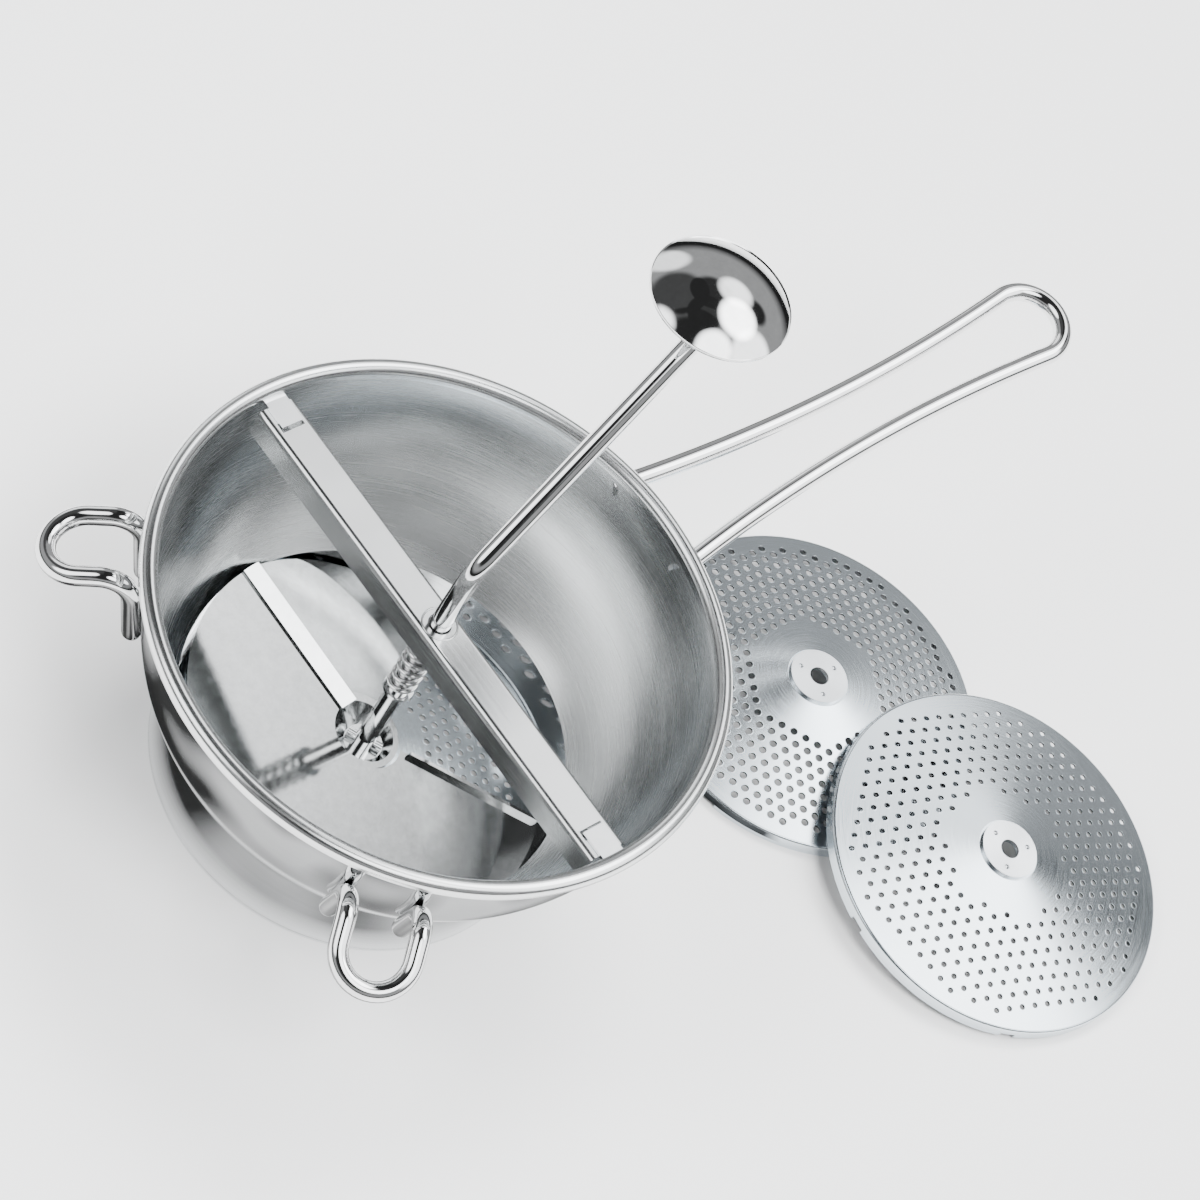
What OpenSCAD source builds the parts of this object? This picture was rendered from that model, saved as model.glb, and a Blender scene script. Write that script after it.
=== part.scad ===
// Rotary food mill with a flared bowl, a wire handle, two wire rests,
// a sprung crossbar, a cranked rotor and three perforated discs.
// The bowl axis is Z, the bench plane is z = 0 and the handle points along +X.

/* [Bowl] */
// radius of the rolled rim, outside edge
rim_radius = 120; // [100:0.5:140]
// height of the rim above the bench
rim_height = 118; // [100:1:140]
// radius of the bulging wall, outside
wall_radius = 114; // [100:0.5:125]
// thickness of the bowl sheet
sheet = 1.2; // [0.8:0.1:2]
// outside radius of the straight collar below the bowl
collar_radius = 83; // [78:0.5:90]
// height of the collar
collar_height = 34; // [28:1:40]
// inside radius of the ledge that carries the strainer
ledge_radius = 76; // [70:0.5:78]

/* [Handle and rests] */
// wire thickness of the handle and the rests
wire_d = 8; // [6:0.5:10]
// half spacing of the handle wires at the narrow neck
neck_half = 12.2; // [10:0.1:18]
// distance from the wall to the neck
neck_reach = 130; // [100:1:150]
// distance from the neck to the end loop
loop_reach = 85; // [60:1:100]
// bending radius of each long handle wire
handle_bend = 850; // [600:10:1500]
// upward slope of the handle, degrees
handle_rise = 6; // [0:0.5:12]
// angle of each rest from the handle, degrees
rest_angle = 135; // [120:1:150]
// half spacing of the two legs of a rest
rest_half = 14.5; // [12:0.5:20]

/* [Crossbar] */
// height of the crossbar's top face
bar_top = 111; // [100:0.5:116]
// half length of the crossbar
bar_half = 110; // [100:0.5:110]
// width of the crossbar
bar_width = 18; // [14:0.5:24]
// depth of the crossbar's side walls
bar_depth = 13; // [8:0.5:18]
// thickness of the crossbar sheet
bar_sheet = 1.5; // [1:0.1:2]
// distance of each latch slot from the axis
slot_reach = 101; // [95:0.5:104]

/* [Rotor] */
// diameter of the crank rod and shaft
rod_d = 8.5; // [6:0.1:10]
// height where the rod bends outwards
crank_bend_z = 148; // [130:1:170]
// distance of the knob from the axis
crank_reach = 92; // [70:1:120]
// height of the rod's outer end
crank_end_z = 221; // [180:1:230]
// angle of the crank from the handle, degrees
crank_angle = 12; // [-180:1:180]
// sweep radius of the pressing blade
blade_radius = 80; // [70:0.5:80]
// thickness of the blade sheet
blade_sheet = 1.5; // [1:0.1:2.5]
// height at which the blade planes cross the axis
blade_z = 27; // [24:0.5:32]
// slope of the wide wing, degrees
wing_slope = 12; // [6:0.5:14]
// slope of the back wing, degrees
back_slope = 18.6; // [12:0.1:22]
// direction of the ridge where the two wings meet, degrees
ridge_angle = 96; // [80:1:110]

/* [Knob] */
// radius of the knob
knob_radius = 28.5; // [20:0.5:32]
// height of the knob's dome above its edge
knob_rise = 9.5; // [5:0.5:14]
// height of the knob's edge above the end of the rod
knob_lift = 31; // [20:1:36]
// diameter of the knob pin
pin_d = 5; // [4:0.1:6]

/* [Spring] */
// mean radius of the coil
coil_radius = 5.4; // [5.2:0.1:6.5]
// thickness of the spring wire
coil_wire = 1.8; // [1:0.1:2]
// number of turns
coil_turns = 9; // [6:1:12]
// height of the spring's lower end
coil_foot = 64; // [55:1:75]

/* [Strainer discs] */
// outside radius of each disc
disc_radius = 78.5; // [74:0.5:80]
// height of the skirt round each disc
skirt = 5; // [3:0.5:7]
// rise of the cone from the skirt to the hub
cone_rise = 10.6; // [6:0.2:14]
// thickness of the disc sheet
disc_sheet = 0.8; // [0.6:0.1:1.2]
// radius of the hub washer
hub_radius = 13; // [11:0.5:16]
// hole spacing of the fitted disc and the coarse spare
coarse_pitch = 5.8; // [4:0.1:8]
// hole spacing of the fine spare
fine_pitch = 6.4; // [4:0.1:8]
// hole diameter of the fitted disc
fitted_hole = 2.8; // [1:0.1:4]
// hole diameter of the coarse spare
coarse_hole = 3.2; // [1:0.1:4]
// hole diameter of the fine spare
fine_hole = 2.4; // [1:0.1:4]
// radius where the holes begin
holes_from = 29; // [24:1:40]
// radius where the holes end
holes_to = 72; // [60:1:74]

/* [Hidden] */
$fn = 96;
steel = [0.80, 0.81, 0.82];
bright = [0.88, 0.89, 0.90];
disc_steel = [0.72, 0.77, 0.81];
wall_z = rim_height - 6;
wire_r = wire_d / 2;
rod_r = rod_d / 2;
run_gap = 0.05;
weld = 0.02;
lap = 0.05;
seat_z = sheet;
washer = 1.6;
cone_slope = atan((cone_rise - disc_sheet) / (disc_radius - hub_radius - 1));
facets = 36;
disc_bore = rod_r + run_gap;
edge_open = ridge_angle - 69;
edge_lip = -49;
wing_dir = 131;
back_dir = 154.9;
dish_r = 16;
pin_z = 22.5;
coil_top = bar_top - bar_sheet;
coil_pitch = (coil_top - coil_foot - coil_wire) / coil_turns;
crank_tilt = atan2(crank_reach, crank_end_z - crank_bend_z);
bend_r = 16;
bend_run = bend_r * tan(crank_tilt / 2);
handle_z = 106;
end_angle = asin(loop_reach / handle_bend);
end_half = neck_half + handle_bend * (1 - cos(end_angle));
end_r = end_half / cos(end_angle);
climb = 73.3;
dip = 25;
bend = 11;
rise = 20.9;
reach = 8;
foot = [108.5, 68];
knee = [foot[0] + rise * cos(climb), foot[1] + rise * sin(climb)];
hub = [knee[0] + bend * sin(climb), knee[1] - bend * cos(climb)];
crown = [hub[0] + bend * sin(dip), hub[1] + bend * cos(dip)];
knob_edge_z = crank_end_z + knob_lift;
cap_r = (knob_radius * knob_radius + knob_rise * knob_rise) / (2 * knob_rise);
coarse_at = [210, -64];
lean_dir = 100;
lean_gap = 107;
lean = 5.4;
fine_at = [coarse_at[0] - lean_gap * cos(lean_dir), coarse_at[1] - lean_gap * sin(lean_dir)];

// ---------- shared shapes ----------

// a ring arc of round wire, lying flat, centred on the origin
module wire_arc(radius, wire, from, sweep) {
  rotate([0, 0, from])
    rotate_extrude(angle = sweep)
      translate([radius, 0])
        circle(r = wire, $fn = 48);
}

// a straight round rod along +X
module rod_x(length, radius) {
  rotate([0, 90, 0])
    cylinder(h = length, r = radius, $fn = 48);
}

// everything inside the outer surface of the bowl wall
module wall_body(extra) {
  translate([0, 0, wall_z])
    sphere(r = wall_radius + extra);
}

// a vertical wedge of space between two directions
module sector(from, to, radius, z0, z1) {
  steps = 6;
  translate([0, 0, z0])
    linear_extrude(height = z1 - z0)
      polygon([for (i = [-1 : steps])
        i < 0 ? [0, 0]
              : [radius * cos(from + (to - from) * i / steps),
                 radius * sin(from + (to - from) * i / steps)]]);
}

// a flat sheet whose top face passes through the axis at blade_z and climbs towards dir
module sloped_sheet(dir, slope, thick) {
  translate([0, 0, blade_z])
    rotate([0, 0, dir])
      rotate([0, -slope, 0])
        translate([-110, -110, -thick])
          cube([220, 220, thick]);
}

// ---------- bowl ----------

module bowl_shell() {
  color(steel)
    translate([0, 0, wall_z])
      rotate_extrude()
        intersection() {
          difference() {
            circle(r = wall_radius);
            circle(r = wall_radius - sheet);
          }
          translate([0, collar_height - wall_z])
            square([wall_radius + 2, wall_z - collar_height]);
        }
}

module rim_flange() {
  inner = wall_radius - sheet;
  mid = (inner + rim_radius) / 2;
  roll = (rim_radius - inner) / 2;
  color(bright)
    translate([0, 0, wall_z])
      rotate_extrude()
        union() {
          translate([inner, 0])
            square([sheet, 6 - roll]);
          difference() {
            translate([mid, 6 - roll])
              circle(r = roll, $fn = 64);
            translate([mid, 6 - roll])
              circle(r = roll - sheet, $fn = 64);
            translate([inner - 1, 6 - 3 * roll])
              square([rim_radius, 2 * roll]);
          }
          translate([rim_radius - sheet, 1])
            square([sheet, 5 - roll]);
        }
}

module collar() {
  color(steel)
    rotate_extrude()
      union() {
        translate([collar_radius - sheet, sheet])
          square([sheet, collar_height - sheet]);
        translate([collar_radius - sheet, collar_height - 1.6])
          square([sheet + 1.0, 1.6]);
      }
}

module ledge_ring() {
  color(steel)
    difference() {
      cylinder(h = sheet, r = collar_radius);
      translate([0, 0, -1])
        cylinder(h = sheet + 2, r = ledge_radius);
    }
}

module long_handle() {
  neck_angle = asin(neck_reach / handle_bend);
  sweep = neck_angle + end_angle;
  color(bright)
    difference() {
      translate([111, 0, handle_z])
        rotate([0, -handle_rise, 0])
          union() {
            translate([neck_reach, neck_half + handle_bend, 0])
              wire_arc(handle_bend, wire_r, 270 - neck_angle, sweep);
            translate([neck_reach, -neck_half - handle_bend, 0])
              wire_arc(handle_bend, wire_r, 90 - end_angle, sweep);
            translate([neck_reach + loop_reach + end_r * sin(end_angle), 0, 0])
              wire_arc(end_r, wire_r - weld, -90 - end_angle, 180 + 2 * end_angle);
          }
      wall_body(0);
    }
}

// one leg of a rest: up along the wall, over a tight bend and outwards
module rest_leg() {
  rotate([90, 0, 0]) {
    translate([foot[0], foot[1], 0])
      rotate([0, 0, climb])
        rod_x(rise + lap, wire_r);
    translate([hub[0], hub[1], 0])
      wire_arc(bend, wire_r - weld, 90 - dip, climb + dip);
    translate([crown[0], crown[1], 0])
      rotate([0, 0, -dip])
        translate([-lap, 0, 0])
          rod_x(reach + 2 * lap, wire_r);
    translate([foot[0], foot[1], 0])
      sphere(r = wire_r - weld, $fn = 48);
  }
}

module rest_loop() {
  difference() {
    union() {
      translate([0, rest_half, 0])
        rest_leg();
      translate([0, -rest_half, 0])
        rest_leg();
      translate([crown[0] + reach * cos(dip), 0, crown[1] - reach * sin(dip)])
        rotate([0, dip, 0])
          wire_arc(rest_half, wire_r - weld, -90, 180);
    }
    wall_body(0);
  }
}

module rest_left() {
  color(bright)
    rotate([0, 0, rest_angle])
      rest_loop();
}

module rest_right() {
  color(bright)
    rotate([0, 0, -rest_angle])
      rest_loop();
}

module one_lug() {
  tip_y = slot_reach - 1.5;
  width = 10;
  difference() {
    union() {
      translate([-width / 2, tip_y, bar_top + 0.1])
        cube([width, 15, 1.5]);
      translate([-width / 2, tip_y, bar_top - 5])
        cube([width, 1.5, 6.6]);
    }
    difference() {
      translate([-20, 60, 60])
        cube([40, 80, 80]);
      translate([0, 0, wall_z])
        cylinder(h = 200, r = wall_radius - sheet, center = true);
    }
  }
}

module latch_lugs() {
  color(bright) {
    one_lug();
    mirror([0, 1, 0])
      one_lug();
  }
}

// ---------- discs ----------

module hole_field(pitch, d) {
  row = pitch * sin(60);
  rows = ceil(holes_to / row);
  for (j = [-rows : rows])
    for (i = [-rows - 2 : rows + 2]) {
      x = (i + (abs(j) % 2) / 2) * pitch;
      y = j * row;
      if (norm([x, y]) > holes_from && norm([x, y]) < holes_to)
        translate([x, y])
          circle(d = d, $fn = 16);
    }
}

// height of the top of the pressed sheet at a distance from the disc's axis
function sheet_top(r) = skirt + disc_sheet + (disc_radius - r) * tan(cone_slope);

// one corner of the pressed sheet
function corner(r, k, drop) = [
  r * cos(k * 360 / facets),
  r * sin(k * 360 / facets),
  sheet_top(r) - drop
];

// shallow many-sided cone of sheet between two radii
module cone_sheet(inner, outer) {
  n = facets;
  polyhedron(
    points = [
      for (k = [0 : n - 1]) corner(inner, k, 0),
      for (k = [0 : n - 1]) corner(outer, k, 0),
      for (k = [0 : n - 1]) corner(outer, k, disc_sheet),
      for (k = [0 : n - 1]) corner(inner, k, disc_sheet)
    ],
    faces = [
      for (ring = [0 : 3])
        for (k = [0 : n - 1])
          [
            ring * n + k,
            ring * n + (k + 1) % n,
            ((ring + 1) % 4) * n + (k + 1) % n,
            ((ring + 1) % 4) * n + k
          ]
    ]
  );
}

// pressed disc: skirt, shallow cone and a flat centre
module disc_body(pitch, d) {
  difference() {
    union() {
      difference() {
        cylinder(h = skirt + disc_sheet + 0.1, r = disc_radius);
        translate([0, 0, -1])
          cylinder(h = 40, r = disc_radius - disc_sheet);
      }
      cone_sheet(hub_radius + 1.2, disc_radius - 0.1);
      translate([0, 0, skirt + cone_rise - disc_sheet])
        cylinder(h = disc_sheet, r = hub_radius + 1.5);
    }
    cylinder(h = 40, r = disc_bore);
    linear_extrude(height = 40)
      hole_field(pitch, d);
    for (k = [0 : 5])
      rotate([0, 0, 60 * k + 15])
        translate([disc_radius - 4, -5, -1])
          cube([8, 10, 3.2]);
  }
}

// hub washer with three weld dimples
module disc_hub() {
  translate([0, 0, skirt + cone_rise])
    difference() {
      cylinder(h = washer, r = hub_radius);
      translate([0, 0, -1])
        cylinder(h = 5, r = disc_bore);
      for (k = [0 : 2])
        rotate([0, 0, 120 * k])
          translate([9, 0, washer + 0.4])
            sphere(r = 1.2, $fn = 32);
    }
}

module fitted_disc() {
  color(disc_steel)
    translate([0, 0, seat_z])
      disc_body(coarse_pitch, fitted_hole);
}

module fitted_hub() {
  color(disc_steel)
    translate([0, 0, seat_z])
      disc_hub();
}

module place_fine() {
  translate([fine_at[0], fine_at[1], 0])
    rotate([0, 0, lean_dir])
      translate([-disc_radius, 0, 0])
        rotate([0, -lean, 0])
          translate([disc_radius, 0, 0])
            children();
}

module fine_disc() {
  color(disc_steel)
    place_fine()
      disc_body(fine_pitch, fine_hole);
}

module fine_hub() {
  color(disc_steel)
    place_fine()
      disc_hub();
}

module coarse_disc() {
  color(disc_steel)
    translate([coarse_at[0], coarse_at[1], 0])
      disc_body(coarse_pitch, coarse_hole);
}

module coarse_hub() {
  color(disc_steel)
    translate([coarse_at[0], coarse_at[1], 0])
      disc_hub();
}

// ---------- crossbar and spring ----------

module crossbar() {
  half = bar_width / 2;
  color(bright)
    difference() {
      rotate([90, 0, 0])
        linear_extrude(height = 2 * bar_half, center = true)
          difference() {
            union() {
              translate([-half, bar_top - bar_depth])
                square([bar_width, bar_depth - 2.5]);
              translate([-half + 2.5, bar_top - 5])
                square([bar_width - 5, 5]);
              translate([-half + 2.5, bar_top - 2.5])
                circle(r = 2.5, $fn = 48);
              translate([half - 2.5, bar_top - 2.5])
                circle(r = 2.5, $fn = 48);
            }
            translate([-half + bar_sheet, bar_top - bar_depth - 1])
              square([bar_width - 2 * bar_sheet, bar_depth + 1 - bar_sheet]);
          }
      translate([0, 0, bar_top - 4])
        cylinder(h = 10, r = rod_r + 0.6);
      for (s = [-1, 1])
        translate([-5.5, s * (slot_reach - 0.75) - 2.2, bar_top - 4])
          cube([11, 4.4, 10]);
    }
}

module spring() {
  step = coil_pitch / 2;
  tilt = atan2(step, 2 * coil_radius);
  color(bright)
    for (i = [0 : 2 * coil_turns - 1])
      translate([0, 0, coil_foot + coil_wire / 2 + step * (i + 0.5)])
        rotate([0, 0, 180 * (i % 2)])
          rotate([0, tilt, 0])
            wire_arc(coil_radius, coil_wire / 2, 0, 180, $fn = 32);
}

// ---------- rotor ----------

module crank_rod() {
  z0 = 10;
  run = norm([crank_reach, crank_end_z - crank_bend_z]);
  color(bright)
    difference() {
      rotate([0, 0, crank_angle])
        union() {
          translate([0, 0, z0])
            cylinder(h = crank_bend_z - bend_run - z0 + lap, r = rod_r, $fn = 64);
          translate([bend_r, 0, crank_bend_z - bend_run])
            rotate([90, 0, 0])
              wire_arc(bend_r, rod_r - weld, 180 - crank_tilt, crank_tilt);
          translate([0, 0, crank_bend_z])
            rotate([0, crank_tilt, 0])
              translate([0, 0, bend_run - lap])
                cylinder(h = run - bend_run + lap, r = rod_r, $fn = 64);
          translate([crank_reach, 0, crank_end_z])
            sphere(r = rod_r - weld, $fn = 64);
        }
      translate([0, 0, pin_z])
        rotate([0, 90, -60])
          cylinder(h = 30, r = 2, center = true, $fn = 48);
    }
}

module spring_seat() {
  color(bright)
    translate([0, 0, coil_foot - 1.5])
      difference() {
        cylinder(h = 1.4, r = coil_radius + coil_wire / 2);
        translate([0, 0, -1])
          cylinder(h = 5, r = rod_r + 0.02);
      }
}

module cross_pin() {
  color(bright)
    translate([0, 0, pin_z])
      rotate([0, 90, -60])
        cylinder(h = 15, r = 2, center = true, $fn = 48);
}

module blade() {
  color(bright)
    difference() {
      union() {
        difference() {
          intersection() {
            union() {
              intersection() {
                sloped_sheet(wing_dir, wing_slope, blade_sheet);
                sector(ridge_angle, 360 + edge_lip, 100, 0, 60);
              }
              intersection() {
                sloped_sheet(back_dir, back_slope, blade_sheet);
                sector(edge_open, ridge_angle, 100, 0, 60);
              }
            }
            cylinder(h = 60, r = blade_radius);
          }
          cylinder(h = 60, r = dish_r - 1);
        }
        intersection() {
          rotate_extrude()
            polygon([
              [0, 18.9], [9, 18.9], [dish_r + 2, 29], [dish_r + 2, 34],
              [dish_r, 34], [dish_r - 1, 29.5], [8.2, 20.5], [0, 20.5]
            ]);
          union() {
            sloped_sheet(wing_dir, wing_slope, 60);
            intersection() {
              sloped_sheet(back_dir, back_slope, 60);
              sector(edge_open - 60, ridge_angle, 60, 0, 60);
            }
          }
        }
        intersection() {
          translate([0, 0, blade_z])
            rotate([0, 0, ridge_angle])
              rotate([0, -atan(tan(wing_slope) * cos(ridge_angle - wing_dir)), 0])
                translate([dish_r - 2, -4, -blade_sheet])
                  cube([80, 8, blade_sheet + 1.6]);
          cylinder(h = 60, r = blade_radius);
        }
      }
      cylinder(h = 60, r = rod_r + run_gap);
    }
}

module blade_lip() {
  slope = atan(tan(wing_slope) * cos(edge_lip - wing_dir));
  color(bright)
    intersection() {
      translate([0, 0, blade_z])
        rotate([0, 0, edge_lip])
          rotate([0, -slope, 0])
            translate([dish_r + 3, -1.5, 0])
              cube([70, 1.5, 2.5]);
      cylinder(h = 60, r = blade_radius - 1);
    }
}

// ---------- knob ----------

module at_knob() {
  rotate([0, 0, crank_angle])
    translate([crank_reach, 0, 0])
      children();
}

module knob_pin() {
  color(bright)
    at_knob()
      union() {
        translate([0, 0, crank_end_z + rod_r - 0.6])
          cylinder(h = knob_lift - rod_r + 4.6, r = pin_d / 2, $fn = 48);
        translate([0, 0, crank_end_z + rod_r - 0.6])
          cylinder(h = 2, r = pin_d / 2 + 1.2, $fn = 48);
        translate([0, 0, crank_end_z + knob_lift + 1.4])
          cylinder(h = 1.6, r = pin_d / 2 + 1.5, $fn = 48);
      }
}

module knob_dome() {
  color(bright)
    at_knob()
      translate([0, 0, knob_edge_z])
        rotate_extrude()
          union() {
            intersection() {
              difference() {
                translate([0, knob_rise - cap_r])
                  circle(r = cap_r, $fn = 180);
                translate([0, knob_rise - cap_r])
                  circle(r = cap_r - 1, $fn = 180);
              }
              square([knob_radius - 0.4, knob_rise + 1]);
            }
            translate([knob_radius - 1.4, 0])
              circle(r = 1.4, $fn = 32);
          }
}

module knob_core() {
  color(bright)
    at_knob()
      translate([0, 0, crank_end_z])
        rotate_extrude()
          polygon([
            [pin_d / 2 + run_gap, rod_r + 2.9],
            [5.2, rod_r + 2.9],
            [6.2, knob_lift - 14],
            [10, knob_lift - 7],
            [knob_radius - 2.5, knob_lift - 0.6],
            [knob_radius - 2.5, knob_lift + 0.4],
            [9, knob_lift - 5.5],
            [5.2, knob_lift - 8],
            [5.2, knob_lift + 1],
            [pin_d / 2 + run_gap, knob_lift + 1]
          ]);
}

module knob_washer() {
  color(bright)
    at_knob()
      translate([0, 0, crank_end_z + rod_r + 1.6])
        difference() {
          cylinder(h = 1, r = 5.4, $fn = 48);
          translate([0, 0, -1])
            cylinder(h = 4, r = pin_d / 2 + run_gap, $fn = 48);
        }
}

bowl_shell();
rim_flange();
collar();
ledge_ring();
long_handle();
rest_left();
rest_right();
latch_lugs();
fitted_disc();
fitted_hub();
crossbar();
spring();
crank_rod();
spring_seat();
cross_pin();
blade();
blade_lip();
knob_pin();
knob_dome();
knob_core();
knob_washer();
fine_disc();
fine_hub();
coarse_disc();
coarse_hub();
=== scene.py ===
import math
import bpy
from mathutils import Matrix, Vector, geometry


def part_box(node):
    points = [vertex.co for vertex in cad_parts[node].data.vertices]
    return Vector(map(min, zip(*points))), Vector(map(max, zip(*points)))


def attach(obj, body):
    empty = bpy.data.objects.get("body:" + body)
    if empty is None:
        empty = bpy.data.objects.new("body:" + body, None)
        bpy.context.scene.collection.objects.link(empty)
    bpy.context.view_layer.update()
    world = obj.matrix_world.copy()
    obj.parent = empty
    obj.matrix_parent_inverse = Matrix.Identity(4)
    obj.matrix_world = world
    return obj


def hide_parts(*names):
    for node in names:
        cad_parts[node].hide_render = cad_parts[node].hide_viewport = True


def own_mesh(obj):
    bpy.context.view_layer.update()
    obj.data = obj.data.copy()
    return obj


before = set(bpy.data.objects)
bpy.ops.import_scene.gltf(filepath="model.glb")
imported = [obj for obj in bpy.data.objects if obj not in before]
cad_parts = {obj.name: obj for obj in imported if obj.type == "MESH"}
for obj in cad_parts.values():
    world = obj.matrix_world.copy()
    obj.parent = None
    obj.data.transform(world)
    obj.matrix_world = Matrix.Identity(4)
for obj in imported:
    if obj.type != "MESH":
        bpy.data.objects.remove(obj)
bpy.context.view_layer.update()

MM = 0.001


# ---------------------------------------------------------------- places
def low(node):
    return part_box(node)[0]


def high(node):
    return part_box(node)[1]


def centre(node):
    a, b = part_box(node)
    return Vector(((a[0] + b[0]) / 2, (a[1] + b[1]) / 2, (a[2] + b[2]) / 2))


RIM_R = (high("rim_flange")[0] - low("rim_flange")[0]) / 2
RIM_Z = high("rim_flange")[2]
WALL_R = (high("bowl_shell")[0] - low("bowl_shell")[0]) / 2
WALL_Z = high("bowl_shell")[2]
SEAM_Z = low("bowl_shell")[2]
COLLAR_R = (high("ledge_ring")[0] - low("ledge_ring")[0]) / 2
SHEET = high("ledge_ring")[2] - low("ledge_ring")[2]
ROD_R = 4.25 * MM
AXIS = Vector((0, 0, 0))


def polar(angle, radius, z=0.0):
    a = math.radians(angle)
    return Vector((radius * math.cos(a), radius * math.sin(a), z))


# ---------------------------------------------------------------- materials
def node_tree(name):
    mat = bpy.data.materials.new(name)
    mat.use_nodes = True
    tree = mat.node_tree
    tree.nodes.clear()
    out = tree.nodes.new("ShaderNodeOutputMaterial")
    bsdf = tree.nodes.new("ShaderNodeBsdfPrincipled")
    tree.links.new(bsdf.outputs[0], out.inputs[0])
    return mat, tree, bsdf


def maths(tree, operation, a, b=None):
    n = tree.nodes.new("ShaderNodeMath")
    n.operation = operation
    for i, v in enumerate((a, b)):
        if v is None:
            continue
        if isinstance(v, (int, float)):
            n.inputs[i].default_value = v
        else:
            tree.links.new(v, n.inputs[i])
    return n.outputs[0]


def spread(tree, value, lo, hi, from_lo=0.25, from_hi=0.75):
    n = tree.nodes.new("ShaderNodeMapRange")
    n.inputs["From Min"].default_value = from_lo
    n.inputs["From Max"].default_value = from_hi
    n.inputs["To Min"].default_value = lo
    n.inputs["To Max"].default_value = hi
    tree.links.new(value, n.inputs["Value"])
    return n.outputs[0]


def noise_at(tree, vector, scale, detail=4.0, rough=0.55):
    n = tree.nodes.new("ShaderNodeTexNoise")
    n.inputs["Scale"].default_value = scale
    n.inputs["Detail"].default_value = detail
    n.inputs["Roughness"].default_value = rough
    tree.links.new(vector, n.inputs["Vector"])
    return n.outputs[0]


def place(tree, grain, middle):
    """The vector that the grain noise reads: fine across the grain and long along it."""
    coords = tree.nodes.new("ShaderNodeTexCoord").outputs["Object"]
    shift = tree.nodes.new("ShaderNodeVectorMath")
    shift.operation = "SUBTRACT"
    shift.inputs[1].default_value = tuple(middle)
    tree.links.new(coords, shift.inputs[0])
    at = shift.outputs[0]
    parts = tree.nodes.new("ShaderNodeSeparateXYZ")
    tree.links.new(at, parts.inputs[0])
    x, y, z = parts.outputs
    join = tree.nodes.new("ShaderNodeCombineXYZ")
    if grain == "turned":
        squares = maths(tree, "ADD", maths(tree, "MULTIPLY", x, x), maths(tree, "MULTIPLY", y, y))
        radius = maths(tree, "SQRT", squares)
        angle = maths(tree, "ARCTAN2", y, x)
        tree.links.new(maths(tree, "MULTIPLY", radius, 1400.0), join.inputs[0])
        tree.links.new(maths(tree, "MULTIPLY", angle, 0.9), join.inputs[1])
        tree.links.new(maths(tree, "MULTIPLY", z, 1400.0), join.inputs[2])
    else:
        rates = {"x": (12.0, 1500.0, 1500.0), "y": (1500.0, 12.0, 1500.0), "z": (1500.0, 1500.0, 12.0)}
        rates = rates.get(grain, (220.0, 220.0, 220.0))
        for value, rate, socket in zip((x, y, z), rates, join.inputs):
            tree.links.new(maths(tree, "MULTIPLY", value, rate), socket)
    return at, join.outputs[0]


def metal(name, tint, rough, swing, grain="none", lines=0.1, aniso=0.0, tangent="Z", middle=(0, 0, 0),
          shade=0.06, stain=0.5):
    """Stainless steel: tint is its reflectance, rough and swing its roughness and how far that wanders.

    grain is how it was polished, lines the height of the brush marks, shade how far the tint wanders,
    and stain the share of the roughness that follows smudges and not brush marks.
    """
    mat, tree, bsdf = node_tree(name)
    at, along = place(tree, grain, middle)
    smudge = noise_at(tree, at, 38.0, 3.0)
    brush = noise_at(tree, along, 1.0, 5.0, 0.65)
    smudged = maths(tree, "MULTIPLY", smudge, stain)
    both = maths(tree, "ADD", smudged, maths(tree, "MULTIPLY", brush, 1 - stain))
    tree.links.new(spread(tree, both, max(rough - swing, 0.02), rough + swing), bsdf.inputs["Roughness"])
    mix = tree.nodes.new("ShaderNodeMix")
    mix.data_type = "RGBA"
    mix.inputs[6].default_value = (*[c * (1 - shade) for c in tint], 1)
    mix.inputs[7].default_value = (*[min(c * (1 + shade), 1.0) for c in tint], 1)
    tree.links.new(spread(tree, brush, 0.0, 1.0, 0.3, 0.7), mix.inputs[0])
    tree.links.new(mix.outputs[2], bsdf.inputs["Base Color"])
    bsdf.inputs["Metallic"].default_value = 1.0
    if aniso:
        bsdf.inputs["Anisotropic"].default_value = aniso
        t = tree.nodes.new("ShaderNodeTangent")
        t.direction_type = "RADIAL"
        t.axis = tangent
        tree.links.new(t.outputs[0], bsdf.inputs["Tangent"])
    if lines:
        bump = tree.nodes.new("ShaderNodeBump")
        bump.inputs["Strength"].default_value = lines
        bump.inputs["Distance"].default_value = 0.0001
        tree.links.new(brush, bump.inputs["Height"])
        tree.links.new(bump.outputs[0], bsdf.inputs["Normal"])
    mat.diffuse_color = (*tint, 1)
    return mat


STEEL = (0.76, 0.77, 0.775)
COOL = (0.66, 0.72, 0.76)
brushed = metal("steel_brushed_inside", (0.68, 0.69, 0.69), 0.26, 0.05, "turned", 0.10, 0.78, stain=0.2)
outside = metal("steel_polished_outside", STEEL, 0.07, 0.03, "turned", 0.05)
rim_steel = metal("steel_satin_rim", (0.80, 0.81, 0.81), 0.2, 0.06, "turned", 0.15, 0.4)
chrome = metal("steel_bright_wire", (0.82, 0.82, 0.82), 0.055, 0.025, "none", 0.04)
bar_steel = metal("steel_pressed_bar", (0.74, 0.75, 0.75), 0.2, 0.05, "y", 0.2, 0.3, "Y")
blade_steel = metal("steel_mirror_blade", (0.55, 0.56, 0.56), 0.09, 0.04, "none", 0.10, shade=0.1)
knob_steel = metal("steel_mirror_knob", (0.80, 0.80, 0.80), 0.05, 0.02, "none", 0.03)
spring_steel = metal("steel_spring", (0.72, 0.72, 0.72), 0.1, 0.04, "none", 0.05)
small_steel = metal("steel_small_parts", STEEL, 0.12, 0.05, "none", 0.06)
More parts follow.
